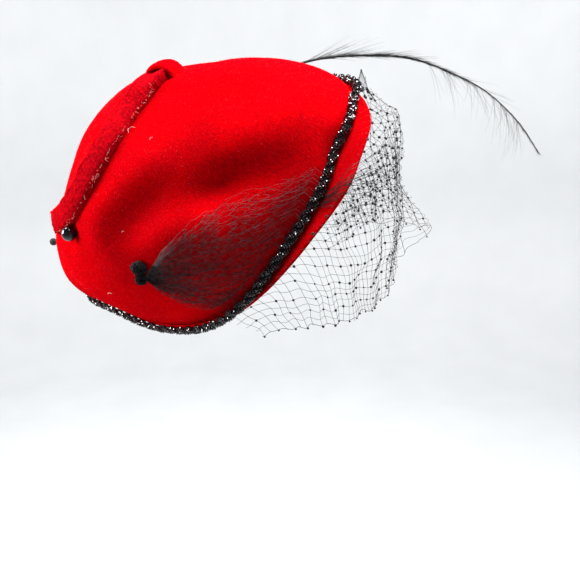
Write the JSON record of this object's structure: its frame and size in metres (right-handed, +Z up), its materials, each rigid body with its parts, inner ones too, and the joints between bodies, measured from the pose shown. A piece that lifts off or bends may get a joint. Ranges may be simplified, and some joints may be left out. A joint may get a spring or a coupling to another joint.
{
  "type": "tilt hat",
  "caption": "Tilted felt hat with a beaded rope round the crown, a raised strap, a ball-headed hatpin, a dotted veil over the face and a thin forward feather.",
  "frame": {"origin": "middle of the head opening, level with the join of crown and brim", "axes": "+Z up as the hat is worn, the wearer's face looks along -Y and the wearer's right is -X; the opening's plane is pitched 44 degrees up at the front and rolled 34 degrees down to the right"},
  "size_m": [0.2062, 0.3676, 0.1943],
  "materials": {
    "felt": "short brushed nap",
    "beads": "glossy, opaque",
    "pin": "polished",
    "net": "fine net with chenille dots",
    "feather": "fine loose barbs"
  },
  "bodies": {
    "root": {"felt_shell": "felt", "bead_rope": "beads", "crown_strap": "felt", "strap_keeper": "felt", "hatpin": "pin", "veil_knot_right": "net", "veil_fan_right": "net", "veil_knot_left": "net", "veil_fan_left": "net", "veil": "net", "feather_quill": "feather", "feather_vane": "feather"}
  },
  "joints": []
}
